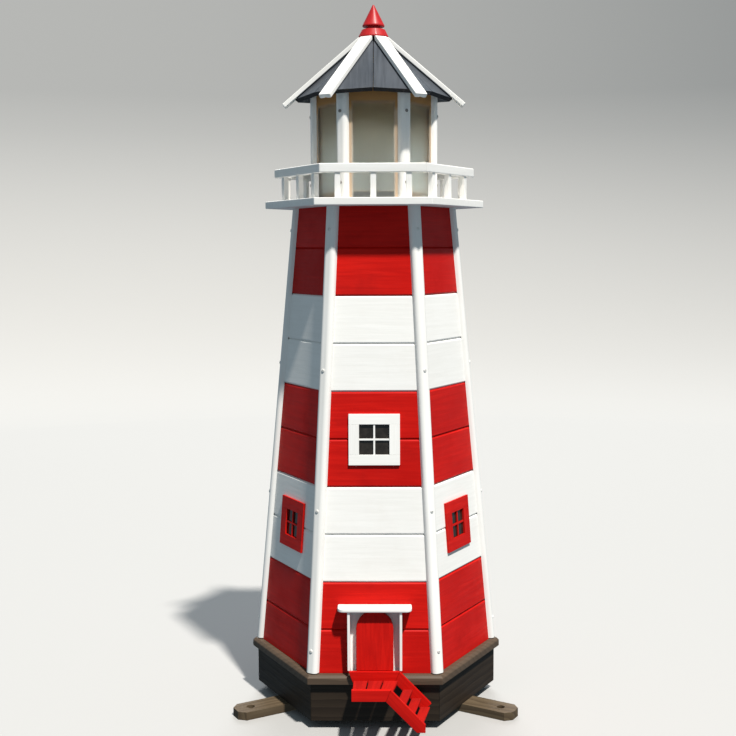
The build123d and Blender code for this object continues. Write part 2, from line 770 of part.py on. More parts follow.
def strip_screw_seats():
    """Seats on the outer face of the cover strip on the +X corner."""
    seats = []
    for z in (DECK_TOP + LANTERN_SCREW_MARGIN_FOOT, LANTERN_TOP - LANTERN_SCREW_MARGIN_HEAD):
        spot = Vector(LANTERN_RADIUS + STRIP_PROUD, 0, z)
        seats.append(Plane(origin=spot, x_dir=(0, 1, 0), z_dir=(1, 0, 0)))
    return seats


def lantern_ring(low, high):
    """Six mitred bars behind the lower or the upper edges of the panes."""
    profile = [
        (LANTERN_RING_INNER_FLAT, low),
        (LANTERN_FRAME_FLAT, low),
        (LANTERN_FRAME_FLAT, high),
        (LANTERN_RING_INNER_FLAT, high),
    ]
    return around(mitred_side(profile))


def make_lantern():
    sill = DECK_TOP + LANTERN_SILL_HEIGHT
    head = LANTERN_TOP - LANTERN_HEAD_HEIGHT
    save("lantern_sill_ring", *lantern_ring(DECK_TOP, sill))
    save("lantern_top_ring", *lantern_ring(head, LANTERN_TOP))
    corner = LANTERN_FRAME_FLAT / FLAT
    post_section = corner_post_section(LANTERN_POST_LEG, LANTERN_POST_DEPTH)
    post = corner_prism(post_section, corner, sill, corner, head)
    strip = corner_prism(
        corner_strip_section(STRIP_WIDTH, STRIP_PROUD),
        LANTERN_RADIUS,
        DECK_TOP,
        LANTERN_RADIUS,
        LANTERN_TOP,
    )
    strip = fillet(long_edges(strip, lambda z: LANTERN_RADIUS, STRIP_PROUD), STRIP_ROUNDING)
    screws = []
    for seat in strip_screw_seats():
        post -= pilot(seat, STRIP_SCREW_LENGTH + SCREW_CLEARANCE)
        strip -= pilot(seat, STRIP_SCREW_LENGTH)
        screws.append(screw(seat, STRIP_SCREW_LENGTH))
    save("lantern_corner_posts", *around(post))
    save("lantern_cover_strips", *around(strip))
    save("lantern_screws", *[turned for one in screws for turned in around(one)])
    pane = [
        (LANTERN_FRAME_FLAT, DECK_TOP),
        (LANTERN_FRAME_FLAT + LANTERN_PANE_THICKNESS, DECK_TOP),
        (LANTERN_FRAME_FLAT + LANTERN_PANE_THICKNESS, LANTERN_TOP),
        (LANTERN_FRAME_FLAT, LANTERN_TOP),
    ]
    save("lantern_panes", *around(mitred_side(pane, CORNER_GAP)))


def make_lamp():
    holder = Pos(0, 0, DECK_TOP) * Cylinder(HOLDER_BASE_RADIUS, HOLDER_BASE_HEIGHT, align=ON_PLANE)
    holder += Pos(0, 0, DECK_TOP) * Cylinder(HOLDER_RADIUS, HOLDER_HEIGHT, align=ON_PLANE)
    holder_top = DECK_TOP + HOLDER_HEIGHT
    socket_foot = holder_top - BULB_CAP_LENGTH - BULB_SEAT_GAP
    socket = Cylinder(HOLDER_RADIUS - HOLDER_WALL, 2 * BULB_CAP_LENGTH, align=ON_PLANE)
    holder -= Pos(0, 0, socket_foot) * socket
    holder -= Pos(0, 0, DECK_TOP) * Cylinder(LAMP_CABLE_HOLE / 2, HOLDER_HEIGHT, align=ON_PLANE)
    save("lamp_holder", holder)
    cap_foot = socket_foot + BULB_SEAT_GAP
    globe = holder_top + BULB_NECK_LENGTH
    with BuildPart() as bulb:
        with BuildSketch(Plane.XZ):
            with BuildLine():
                Line((0, cap_foot), (BULB_CAP_RADIUS, cap_foot))
                Line((BULB_CAP_RADIUS, cap_foot), (BULB_CAP_RADIUS, holder_top))
                Line((BULB_CAP_RADIUS, holder_top), (BULB_NECK_RADIUS, holder_top))
                Spline(
                    (BULB_NECK_RADIUS, holder_top),
                    (BULB_RADIUS, globe),
                    tangents=((0, 1), (0, 1)),
                )
                JernArc(start=(BULB_RADIUS, globe), tangent=(0, 1), radius=BULB_RADIUS, arc_size=90)
                Line((0, globe + BULB_RADIUS), (0, cap_foot))
            make_face()
        revolve(axis=Axis.Z)
    save("lamp_bulb", bulb.part)


# ---------------------------------------------------------------- roof

def roof_top(flat):
    """Height of the boards' upper side at a distance from the axis, square to a face."""
    return ROOF_APEX - flat * FACET_RISE


def roof_underside(flat):
    """Height of the boards' underside at a distance from the axis, square to a face."""
    return roof_top(flat) - ROOF_BOARD_UPRIGHT


def level_cut():
    """Everything above the level seat of the finial."""
    return Pos(0, 0, FINIAL_SEAT) * Box(SKY, SKY, SKY, align=ON_PLANE)


def make_roof_boards():
    eave_flat = EAVE_RADIUS * FLAT
    slope = radians(FACET_SLOPE)
    outward = polar(sin(slope), FRONT, cos(slope))
    plane = Plane(origin=polar(eave_flat, FRONT, roof_top(eave_flat)), x_dir=(1, 0, 0), z_dir=outward)
    head = (eave_flat - ROOF_EYE) / cos(slope)
    half_eave = EAVE_RADIUS / 2
    skew = SEAM_SETBACK / half_eave
    past = 2 * half_eave
    corners = [(0, SEAM_SETBACK), (past, SEAM_SETBACK - skew * past), (past, head), (0, head)]
    board = extrude(plane * Polygon(*corners, align=None), amount=-ROOF_BOARD)
    board &= wedge(FRONT, FRONT + HALF_SIDE, BOARD_GAP)
    board -= level_cut()
    other = mirror(board, Plane.YZ)
    save("roof_boards", *around(board), *around(other))


def roof_envelope():
    """Six-sided pyramid under the boards' upper side, carried on past the eaves."""
    flat = 2 * EAVE_RADIUS
    profile = [(0, roof_top(flat)), (flat, roof_top(flat)), (0, ROOF_APEX)]
    pyramid = None
    for side in around(mitred_side(profile)):
        pyramid = side if pyramid is None else pyramid + side
    return pyramid


def make_hip_battens():
    slope = radians(HIP_SLOPE)
    foot = HIP_BATTEN_TIP
    seat = HIP_BATTEN_SEAT / cos(slope)
    rise = HIP_BATTEN_THICKNESS * Vector(sin(slope), 0, cos(slope))
    tip = Vector(foot, 0, ROOF_APEX - foot * HIP_RISE - seat)
    inner = Vector(HIP_BATTEN_INNER_END, 0, ROOF_APEX - HIP_BATTEN_INNER_END * HIP_RISE - seat)
    inner_top = Vector(inner.X, 0, inner.Z + HIP_BATTEN_THICKNESS / cos(slope))
    tip_top = tip + rise
    profile = [(p.X, p.Z) for p in (inner, tip, tip_top, inner_top)]
    batten = radial_slab(profile, 0, HIP_BATTEN_WIDTH)
    batten -= roof_envelope()
    batten -= level_cut()
    save("hip_battens", *around(batten))


def make_roof_frame():
    inner = LANTERN_RING_INNER_FLAT - LOCATING_CLEARANCE
    outer = LANTERN_FRAME_FLAT
    ring = [
        (inner, LANTERN_TOP),
        (outer, LANTERN_TOP),
        (outer, roof_underside(outer)),
        (inner, roof_underside(inner)),
    ]
    save("roof_rest_ring", *around(mitred_side(ring)))
    block = [
        (inner - LOCATING_BLOCK_THICKNESS, LANTERN_TOP - LOCATING_DEPTH),
        (inner, LANTERN_TOP - LOCATING_DEPTH),
        (inner, LANTERN_TOP + LOCATING_GRIP),
        (inner - LOCATING_BLOCK_THICKNESS, LANTERN_TOP + LOCATING_GRIP),
    ]
    save("roof_locating_blocks", *around(radial_slab(block, FRONT, LOCATING_BLOCK_LENGTH), 3))
    flat = KING_BLOCK_RADIUS * FLAT
    foot = roof_underside(0) - KING_BLOCK_DEPTH - KING_BLOCK_RADIUS * HIP_RISE / 2
    profile = [(0, foot), (flat, foot), (flat, roof_underside(flat)), (0, roof_underside(0))]
    king = None
    for side in around(mitred_side(profile)):
        king = side if king is None else king + side
    king -= finial_screw_hole()
    king -= level_cut()
    save("roof_king_block", king)


def finial_screw_hole():
    """Hole for the finial screw in the king block and in the finial."""
    foot = FINIAL_SEAT + FINIAL_SCREW_BITE - FINIAL_SCREW_LENGTH - SCREW_CLEARANCE
    length = FINIAL_SCREW_LENGTH + 2 * SCREW_CLEARANCE
    radius = FINIAL_SCREW_DIAMETER / 2 + SCREW_CLEARANCE
    return Pos(0, 0, foot) * Cylinder(radius, length, align=ON_PLANE)


def make_finial():
    collar = FINIAL_SEAT + FINIAL_COLLAR_HEIGHT
    neck = collar + FINIAL_NECK_HEIGHT
    tip = neck + FINIAL_CONE_HEIGHT
    outline = [
        (0, FINIAL_SEAT),
        (FINIAL_BASE_RADIUS, FINIAL_SEAT),
        (FINIAL_BASE_RADIUS, FINIAL_SEAT + FINIAL_LIP),
        (FINIAL_COLLAR_RADIUS, collar),
        (FINIAL_NECK_RADIUS, collar),
        (FINIAL_NECK_RADIUS, neck),
        (FINIAL_CONE_RADIUS, neck),
        (FINIAL_CONE_RADIUS, neck + FINIAL_LIP),
        (FINIAL_TIP_RADIUS, tip),
        (0, tip),
    ]
    finial = revolve(Plane.XZ * Polygon(*outline, align=None), axis=Axis.Z)
    finial -= finial_screw_hole()
    save("finial", finial)
    foot = FINIAL_SEAT + FINIAL_SCREW_BITE - FINIAL_SCREW_LENGTH
    dowel = Cylinder(FINIAL_SCREW_DIAMETER / 2, FINIAL_SCREW_LENGTH, align=ON_PLANE)
    save("finial_screw", Pos(0, 0, foot) * dowel)


make_lugs()
make_plinth()
make_gland()
make_slab()
make_tower_frame()
make_courses()
make_corner_battens()
make_windows()
make_door()
make_porch()
make_stair()
make_balcony()
make_lantern()
make_lamp()
make_roof_boards()
make_hip_battens()
make_roof_frame()
make_finial()
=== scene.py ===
"""Looks of the garden lighthouse: painted timber, translucent lantern, studio floor.

Lengths are in metres. Angles are in radians, except where a comment says degrees.
"""
import json
import random
from math import cos, pi, radians, sin

import bmesh
import bpy
import numpy as np
from mathutils import Matrix, Vector


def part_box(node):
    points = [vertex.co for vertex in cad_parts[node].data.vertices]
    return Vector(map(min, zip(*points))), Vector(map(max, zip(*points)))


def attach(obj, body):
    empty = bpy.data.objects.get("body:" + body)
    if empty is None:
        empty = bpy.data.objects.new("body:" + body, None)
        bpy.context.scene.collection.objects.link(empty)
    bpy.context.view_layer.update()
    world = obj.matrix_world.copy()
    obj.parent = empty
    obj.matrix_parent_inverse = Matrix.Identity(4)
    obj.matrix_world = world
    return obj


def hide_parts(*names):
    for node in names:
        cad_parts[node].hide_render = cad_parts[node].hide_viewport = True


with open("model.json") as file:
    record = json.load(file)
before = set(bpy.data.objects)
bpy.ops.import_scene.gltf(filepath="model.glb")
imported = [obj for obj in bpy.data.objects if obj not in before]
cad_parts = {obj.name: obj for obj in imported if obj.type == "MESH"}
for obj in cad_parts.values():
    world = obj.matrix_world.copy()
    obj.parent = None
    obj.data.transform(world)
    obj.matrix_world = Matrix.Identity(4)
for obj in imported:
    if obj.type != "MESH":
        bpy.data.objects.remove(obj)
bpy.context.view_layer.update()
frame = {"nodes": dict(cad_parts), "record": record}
NODES = frame["nodes"]
BODY_OF = {node: body for body, nodes in frame["record"]["behaviour"]["bodies"].items() for node in nodes}
SLOT_OF = {part["node"]: part["material_slot"] for part in frame["record"]["subparts"]}
rng = random.Random(7)


# ---------------------------------------------------------------- camera

CAMERA_POSITION = Vector((0.0218, -2.3474, 0.9154))
CAMERA_LENS = 56.37  # millimetres, on a sensor of SENSOR_WIDTH
SENSOR_WIDTH = 36
CAMERA_HEADING = (-0.0152, 0.9999)  # level direction of view
CAMERA_PITCH = 0.1016  # downwards
CAMERA_ROLL = -0.0045


def make_camera():
    level = Vector((*CAMERA_HEADING, 0)).normalized()
    forward = level * cos(CAMERA_PITCH) - Vector((0, 0, sin(CAMERA_PITCH)))
    right = forward.cross(Vector((0, 0, 1))).normalized()
    up = right.cross(forward)
    x_axis = right * cos(CAMERA_ROLL) + up * sin(CAMERA_ROLL)
    y_axis = up * cos(CAMERA_ROLL) - right * sin(CAMERA_ROLL)
    data = bpy.data.cameras.new("camera")
    data.lens = CAMERA_LENS
    data.sensor_width = SENSOR_WIDTH
    camera = bpy.data.objects.new("camera", data)
    rotation = Matrix((x_axis, y_axis, -forward)).transposed().to_4x4()
    camera.matrix_world = Matrix.Translation(CAMERA_POSITION) @ rotation
    bpy.context.scene.collection.objects.link(camera)
    bpy.context.scene.camera = camera


# ---------------------------------------------------------------- studio

FLOOR_RADIUS = 4.0  # of the level part
FLOOR_CURVE = 2.0  # radius of the curve up into the wall
WALL_TOP = 5.0
FLOOR_DROP = 0.0004  # keeps the floor clear of the part's underside
CURVE_STEPS = 12
FLOOR_SIDES = 96
FLOOR_TONES = ((0.37, 0.365, 0.355, 1), (0.40, 0.395, 0.385, 1))

# Azimuths are degrees to the right of the front, elevations and spreads are degrees too.
SUN_AZIMUTH = 31
SUN_ELEVATION = 61
SUN_STRENGTH = 6.0
SUN_SPREAD = 3
SUN_COLOUR = (1.0, 0.965, 0.91)
FILL_AZIMUTH = 180
FILL_ELEVATION = 38
FILL_STRENGTH = 1.8
FILL_SPREAD = 30
FILL_COLOUR = (0.94, 0.97, 1.0)
SKY_COLOUR = (0.70, 0.90, 1.05, 1)
SKY_STRENGTH = 0.295


def make_floor():
    """Pale floor that curves up into a wall all round, far from the part."""
    profile = [(FLOOR_RADIUS, -FLOOR_DROP)]
    for step in range(1, CURVE_STEPS + 1):
        turn = radians(90 * step / CURVE_STEPS)
        profile.append((FLOOR_RADIUS + FLOOR_CURVE * sin(turn), FLOOR_CURVE - FLOOR_CURVE * cos(turn)))
    profile.append((FLOOR_RADIUS + FLOOR_CURVE, WALL_TOP))
    mesh = bpy.data.meshes.new("floor")
    shell = bmesh.new()
    rings = []
    for radius, height in profile:
        ring = []
        for step in range(FLOOR_SIDES):
            turn = 2 * pi * step / FLOOR_SIDES
            ring.append(shell.verts.new((radius * cos(turn), radius * sin(turn), height)))
        rings.append(ring)
    shell.faces.new(rings[0])
    for lower, upper in zip(rings, rings[1:]):
        for step in range(FLOOR_SIDES):
            following = (step + 1) % FLOOR_SIDES
            shell.faces.new((lower[step], lower[following], upper[following], upper[step]))
    for face in shell.faces[1:]:
        face.smooth = True
    bmesh.ops.recalc_face_normals(shell, faces=shell.faces)
    shell.to_mesh(mesh)
    shell.free()
    floor = bpy.data.objects.new("floor", mesh)
    bpy.context.scene.collection.objects.link(floor)
    material = bpy.data.materials.new("floor")
    material.use_nodes = True
    nodes, links = material.node_tree.nodes, material.node_tree.links
    shader = nodes["Principled BSDF"]
    noise = nodes.new("ShaderNodeTexNoise")
    noise.inputs["Scale"].default_value = 2.0
    ramp = nodes.new("ShaderNodeValToRGB")
    for element, tone in zip(ramp.color_ramp.elements, FLOOR_TONES):
        element.color = tone
    links.new(noise.outputs["Fac"], ramp.inputs["Fac"])
    links.new(ramp.outputs["Color"], shader.inputs["Base Color"])
    shader.inputs["Roughness"].default_value = 0.85
    mesh.materials.append(material)
    floor.visible_diffuse = False
    floor.visible_glossy = False
    floor.visible_shadow = False


def make_lights():
    bpy.context.scene.view_settings.view_transform = "Standard"
    world = bpy.data.worlds.new("studio")
    world.use_nodes = True
    background = world.node_tree.nodes["Background"]
    background.inputs["Color"].default_value = SKY_COLOUR
    background.inputs["Strength"].default_value = SKY_STRENGTH
    bpy.context.scene.world = world
    far_light("key", SUN_AZIMUTH, SUN_ELEVATION, SUN_STRENGTH, SUN_SPREAD, SUN_COLOUR)
    fill = far_light("fill", FILL_AZIMUTH, FILL_ELEVATION, FILL_STRENGTH, FILL_SPREAD, FILL_COLOUR)
    fill.visible_transmission = False


def far_light(name, azimuth, elevation, strength, spread, colour):
    """Light from far away, in a direction given by its azimuth and its elevation."""
    data = bpy.data.lights.new(name, "SUN")
    data.energy = strength
    data.angle = radians(spread)
    data.color = colour
    light = bpy.data.objects.new(name, data)
    light.rotation_euler = (radians(90 - elevation), 0, radians(azimuth))
    bpy.context.scene.collection.objects.link(light)
    return light


# ---------------------------------------------------------------- materials

class Graph:
    """Short-hand for building one node material."""

    def __init__(self, name):
        self.material = bpy.data.materials.new(name)
        self.material.use_nodes = True
        self.nodes = self.material.node_tree.nodes
        self.links = self.material.node_tree.links
        self.shader = self.nodes["Principled BSDF"]

    def add(self, kind, **settings):
        node = self.nodes.new("ShaderNode" + kind)
        for key, value in settings.items():
            setattr(node, key, value)
        return node

    def link(self, source, target):
        self.links.new(source, target)

    def attribute(self, name, output):
        return self.add("Attribute", attribute_name=name).outputs[output]

    def stretched(self, vector, scale):
        node = self.add("Mapping")
        node.inputs["Scale"].default_value = scale
        self.link(vector, node.inputs["Vector"])
        return node.outputs["Vector"]

    def noise(self, vector, scale, detail, roughness, distortion=0.0):
        node = self.add("TexNoise")
        node.inputs["Scale"].default_value = scale
        node.inputs["Detail"].default_value = detail
        node.inputs["Roughness"].default_value = roughness
        node.inputs["Distortion"].default_value = distortion
        self.link(vector, node.inputs["Vector"])
        return node.outputs["Fac"]

    def ramp(self, value, low, high, low_value=0.0, high_value=1.0):
        """A soft step from low_value, where the value is low, to high_value, where it is high."""
        node = self.add("MapRange", interpolation_type="SMOOTHSTEP")
        node.inputs["From Min"].default_value = low
        node.inputs["From Max"].default_value = high
        node.inputs["To Min"].default_value = low_value
        node.inputs["To Max"].default_value = high_value
        self.link(value, node.inputs["Value"])
        return node.outputs["Result"]

    def maths(self, operation, first, second=0.0):
        node = self.add("Math", operation=operation)
        for socket, value in zip(node.inputs, (first, second)):
            if isinstance(value, (int, float)):
                socket.default_value = value
            else:
                self.link(value, socket)
        return node.outputs["Value"]

    def mix(self, factor, first, second):
        node = self.add("Mix", data_type="RGBA")
        if isinstance(factor, (int, float)):
            node.inputs["Factor"].default_value = factor
        else:
            self.link(factor, node.inputs["Factor"])
        for name, value in (("A", first), ("B", second)):
            socket = [s for s in node.inputs if s.name == name and s.type == "RGBA"][0]
            if isinstance(value, tuple):
                socket.default_value = (*value, 1.0)
            else:
                self.link(value, socket)
        return [s for s in node.outputs if s.type == "RGBA"][0]

    def bump(self, height, distance, strength, normal=None):
        node = self.add("Bump")
        node.inputs["Distance"].default_value = distance
        node.inputs["Strength"].default_value = strength
        self.link(height, node.inputs["Height"])
        if normal is not None:
            self.link(normal, node.inputs["Normal"])
        return node.outputs["Normal"]

    def finish(self, colour, roughness, normal=None):
        self.link(colour, self.shader.inputs["Base Color"])
        self.link(roughness, self.shader.inputs["Roughness"])
        if normal is not None:
            self.link(normal, self.shader.inputs["Normal"])
        return self.material


def painted_wood(name, colour, shade, stain, gloss, grain, dirty, coat=0.0, shine=0.2, vary=0.05):
    """Brushed paint on planed boards: grain shows through, dirt gathers in streaks and patches.

    colour and shade are the paint's two tones, stain is the dirt's. gloss is the lowest roughness,
    grain the depth of the relief, dirty the strength of the dirt, coat a clear varnish, shine the
    level of the reflections, and vary the spread in tone from one piece to the next.
    """
    g = Graph(name)
    grain_vector = g.attribute("grain", "Vector")
    piece = g.attribute("piece", "Fac")
    lines = g.noise(
        g.stretched(grain_vector, (3.0, 55.0, 55.0)), scale=3.0, detail=5.0, roughness=0.6, distortion=0.4)
    fine = g.noise(g.stretched(grain_vector, (10.0, 400.0, 400.0)), scale=2.0, detail=3.0, roughness=0.6)
    patches = g.noise(grain_vector, scale=14.0, detail=4.0, roughness=0.6)
    broad = g.noise(grain_vector, scale=4.0, detail=2.0, roughness=0.5)
    tone = g.mix(0.45, lines, broad)
    body = g.mix(g.ramp(tone, 0.38, 0.66), shade, colour)
    dirt = g.maths("MULTIPLY", g.ramp(patches, 0.5, 0.78), dirty)
    body = g.mix(dirt, body, stain)
    lift = g.add("HueSaturation")
    g.link(g.ramp(piece, 0.0, 1.0, 1.0 - vary, 1.0 + vary), lift.inputs["Value"])
    g.link(body, lift.inputs["Color"])
    g.shader.inputs["Specular IOR Level"].default_value = shine
    height = g.mix(0.3, lines, fine)
    normal = g.bump(height, distance=0.0006 * grain, strength=0.7)
    normal = g.bump(patches, distance=0.0008, strength=0.35, normal=normal)
    roughness = g.ramp(patches, 0.3, 0.75, gloss, gloss + 0.16)
    if coat:
        g.shader.inputs["Coat Weight"].default_value = coat
        g.shader.inputs["Coat Roughness"].default_value = 0.12
    return g.finish(lift.outputs["Color"], roughness, normal)


def bare_wood(name, light, dark, rough, grain):
    """Unpainted or stained timber with growth rings along the piece."""
    g = Graph(name)
    vector = g.attribute("grain", "Vector")
    piece = g.attribute("piece", "Fac")
    wobble = g.noise(g.stretched(vector, (2.0, 9.0, 9.0)), scale=2.0, detail=2.0, roughness=0.5)
    rings = g.add("TexWave", wave_type="RINGS", rings_direction="X", wave_profile="SAW")
    rings.inputs["Scale"].default_value = 26.0
    rings.inputs["Distortion"].default_value = 5.0
    rings.inputs["Detail"].default_value = 2.0
    g.link(g.stretched(vector, (0.25, 1.0, 1.0)), rings.inputs["Vector"])
    fibres = g.noise(g.stretched(vector, (8.0, 320.0, 320.0)), scale=2.0, detail=4.0, roughness=0.65)
    tone = g.mix(0.55, rings.outputs["Fac"], wobble)
    body = g.mix(g.ramp(tone, 0.25, 0.75), light, dark)
    body = g.mix(g.ramp(fibres, 0.45, 0.8, 0.0, 0.35), body, tuple(c * 0.5 for c in dark))
    lift = g.add("HueSaturation")
    g.link(g.ramp(piece, 0.0, 1.0, 0.85, 1.12), lift.inputs["Value"])
    g.link(body, lift.inputs["Color"])
    g.shader.inputs["Specular IOR Level"].default_value = 0.2
    height = g.mix(0.6, rings.outputs["Fac"], fibres)
    normal = g.bump(height, distance=0.0008 * grain, strength=0.8)
    return g.finish(lift.outputs["Color"], g.ramp(fibres, 0.3, 0.8, rough - 0.08, rough + 0.14), normal)


# The soft edges on a lantern pane, as distances from its middle: upwards, and sideways for the posts. The
# top edge starts the painted shade for the roof's shadow, and the foot edge starts the painted light of a
# lighter foot.
TOP_PAINTED_SHADE_EDGE = (-0.03, 0.07)
RING_EDGE = (0.073, 0.086)
RING_TONE_EDGE = (0.060, 0.074)
POST_EDGE = (0.037, 0.0435)
FOOT_PAINTED_LIGHT_EDGE = (-0.10, -0.01)
FRAME_COVER = 0.9
FOOT_PAINTED_LIGHT = 0.12


def lantern_sheet(name):
    """Translucent milky sheet: the frame against its back shows through brown, its top is darkened by
    painted shade and its foot is lightened by painted light.
    """
    g = Graph(name)
    vector = g.attribute("grain", "Vector")
    place = g.add("SeparateXYZ")
    g.link(g.attribute("place", "Vector"), place.inputs["Vector"])
    height = place.outputs["X"]
    across = g.maths("ABSOLUTE", place.outputs["Y"])
    haze = g.noise(vector, scale=9.0, detail=4.0, roughness=0.6)
    waves = g.noise(vector, scale=5.0, detail=1.0, roughness=0.4)
    sheet = g.mix(g.ramp(haze, 0.3, 0.8), (0.84, 0.89, 0.86), (0.76, 0.80, 0.76))
    # Painted shade: the sheet darkens towards its top, for the roof's shadow.
    sheet = g.mix(g.ramp(height, *TOP_PAINTED_SHADE_EDGE), sheet, (0.46, 0.44, 0.34))
    ring = g.ramp(height, *RING_EDGE)
    posts = g.ramp(across, *POST_EDGE)
    frame_tone = g.mix(g.ramp(height, *RING_TONE_EDGE), (0.56, 0.39, 0.25), (0.46, 0.21, 0.055))
    framed = g.maths("MULTIPLY", g.maths("MAXIMUM", ring, posts), FRAME_COVER)
    colour = g.mix(framed, sheet, frame_tone)
    # Painted light: the foot is made more opaque, so it shows the pale sheet colour and reads lighter, as
    # the lit inside does near the foot.
    painted_foot_light = g.ramp(height, *FOOT_PAINTED_LIGHT_EDGE, FOOT_PAINTED_LIGHT, 0.0)
    opaque = g.maths("MAXIMUM", framed, painted_foot_light)
    g.link(g.maths("SUBTRACT", 1.0, opaque), g.shader.inputs["Transmission Weight"])
    g.shader.inputs["IOR"].default_value = 1.4
    g.shader.inputs["Specular IOR Level"].default_value = 0.15
    normal = g.bump(waves, distance=0.001, strength=0.2)
    return g.finish(colour, g.ramp(haze, 0.3, 0.8, 0.62, 0.72), normal)


def window_glass(name):
    """Near-black pane, painted shade for the unlit inside behind the glass, with a film of dust."""
    g = Graph(name)
    vector = g.attribute("grain", "Vector")
    dust = g.noise(vector, scale=60.0, detail=4.0, roughness=0.6)
    waves = g.noise(vector, scale=18.0, detail=2.0, roughness=0.5)
    # Painted shade: these near-black tones stand in for the dark inside seen through the window.
    colour = g.mix(g.ramp(dust, 0.4, 0.8), (0.015, 0.012, 0.009), (0.034, 0.028, 0.022))
    g.shader.inputs["IOR"].default_value = 1.5
    normal = g.bump(waves, distance=0.0005, strength=0.3)
    return g.finish(colour, g.ramp(dust, 0.3, 0.8, 0.08, 0.22), normal)


def metal(name, colour, rough):
    """Turned metal with fine scratches and light staining."""
    g = Graph(name)
    coordinates = g.add("TexCoord").outputs["Object"]
    scratches = g.noise(
        g.stretched(coordinates, (900.0, 900.0, 120.0)), scale=2.0, detail=3.0, roughness=0.7)
    spots = g.noise(coordinates, scale=400.0, detail=3.0, roughness=0.6)
    body = g.mix(g.ramp(spots, 0.5, 0.75, 0.0, 0.5), colour, tuple(c * 0.55 for c in colour))
    g.shader.inputs["Metallic"].default_value = 1.0
    normal = g.bump(scratches, distance=0.00003, strength=0.6)
    return g.finish(body, g.ramp(scratches, 0.3, 0.7, rough, rough + 0.2), normal)


def plastic(name, colour, rough):
    """Moulded plastic with a fine texture."""
    g = Graph(name)
    coordinates = g.add("TexCoord").outputs["Object"]
    texture = g.noise(coordinates, scale=1500.0, detail=2.0, roughness=0.5)
    haze = g.noise(coordinates, scale=60.0, detail=3.0, roughness=0.5)
    body = g.mix(g.ramp(haze, 0.4, 0.7), colour, tuple(c * 1.5 + 0.01 for c in colour))
    normal = g.bump(texture, distance=0.00005, strength=0.6)
    return g.finish(body, g.ramp(haze, 0.3, 0.7, rough, rough + 0.15), normal)


def frosted_bulb(name):
    """White frosted glass globe."""
    g = Graph(name)
    coordinates = g.add("TexCoord").outputs["Object"]
    haze = g.noise(coordinates, scale=40.0, detail=2.0, roughness=0.5)
    colour = g.mix(g.ramp(haze, 0.4, 0.7), (0.86, 0.85, 0.80), (0.80, 0.79, 0.74))
    g.shader.inputs["Subsurface Weight"].default_value = 0.3
    g.shader.inputs["Subsurface Radius"].default_value = (0.01, 0.01, 0.01)
    return g.finish(colour, g.ramp(haze, 0.3, 0.7, 0.28, 0.36))


MATERIALS = {
    "white_paint": painted_wood(
        "white_paint", (0.86, 0.845, 0.815), (0.81, 0.795, 0.76), (0.56, 0.51, 0.44),
        gloss=0.45, grain=0.55, dirty=0.10, shine=0.25, vary=0.02),
    "red_paint": painted_wood(
        "red_paint", (0.58, 0.010, 0.006), (0.45, 0.006, 0.004), (0.26, 0.003, 0.003),
        gloss=0.38, grain=0.9, dirty=0.35, shine=0.09),
    "roof_grey": painted_wood(
        "roof_grey", (0.066, 0.076, 0.092), (0.036, 0.042, 0.052), (0.014, 0.014, 0.017),
        gloss=0.36, grain=1.3, dirty=0.5, shine=0.45),
    "finial_red": painted_wood(
        "finial_red", (0.46, 0.012, 0.014), (0.36, 0.008, 0.010), (0.22, 0.006, 0.007),
        gloss=0.42, grain=0.4, dirty=0.3, coat=0.08, shine=0.3),
    "plinth_brown": bare_wood(
        "plinth_brown", (0.028, 0.019, 0.012), (0.017, 0.011, 0.007), rough=0.6, grain=0.6),
    "slab_brown": bare_wood(
        "slab_brown", (0.112, 0.077, 0.052), (0.088, 0.060, 0.040), rough=0.55, grain=0.4),
    "lug_brown": bare_wood(
        "lug_brown", (0.104, 0.075, 0.044), (0.066, 0.045, 0.026), rough=0.65, grain=0.8),
    "bare_wood": bare_wood(
        "bare_wood", (0.56, 0.33, 0.14), (0.38, 0.19, 0.07), rough=0.55, grain=0.8),
    "window_glass": window_glass("window_glass"),
    "lantern_glass": lantern_sheet("lantern_glass"),
    "screw_steel": metal("screw_steel", (0.30, 0.28, 0.26), rough=0.35),
    "black_plastic": plastic("black_plastic", (0.02, 0.02, 0.02), rough=0.42),
    "bulb_glass": frosted_bulb("bulb_glass"),
}
# Near-black ends and edges of the roof boards: dark edge paint, and also painted shade for the eave edges
# that face down.
ROOF_EDGE_DARK_AND_SHADE = painted_wood(
    "roof_edge_dark_and_shade", (0.016, 0.017, 0.020), (0.008, 0.008, 0.010), (0.004, 0.004, 0.005),
    gloss=0.5, grain=1.3, dirty=0.4)
# A darker, rougher red for the landing planks and the stair treads.
DARK_TREAD_RED = painted_wood(
    "dark_tread_red", (0.44, 0.010, 0.007), (0.30, 0.006, 0.005), (0.14, 0.010, 0.007),
    gloss=0.55, grain=1.4, dirty=0.5, shine=0.08)
PAINTED_SCREW = plastic("painted_screw", (0.62, 0.61, 0.585), rough=0.5)
CAP_METAL = metal("cap_metal", (0.66, 0.63, 0.56), rough=0.25)


# ---------------------------------------------------------------- timber pieces

WELD_GRID = 1e6  # corner points within a micrometre are one
FLAT_ANGLE = 1.0  # degrees between faces that are merged into one
SMOOTH_ANGLE = 40  # degrees between faces that are shaded as one surface
SCREW_SMOOTH_ANGLE = 35
LARGE_FACE_WEIGHT = 90  # how far large faces decide the shading at their corners
END_COSINE = 0.6  # between a board's thickness and the normal of a face on its edge or end, at most
ROOF_RISE = 0.976  # of a roof facet, for each metre inwards


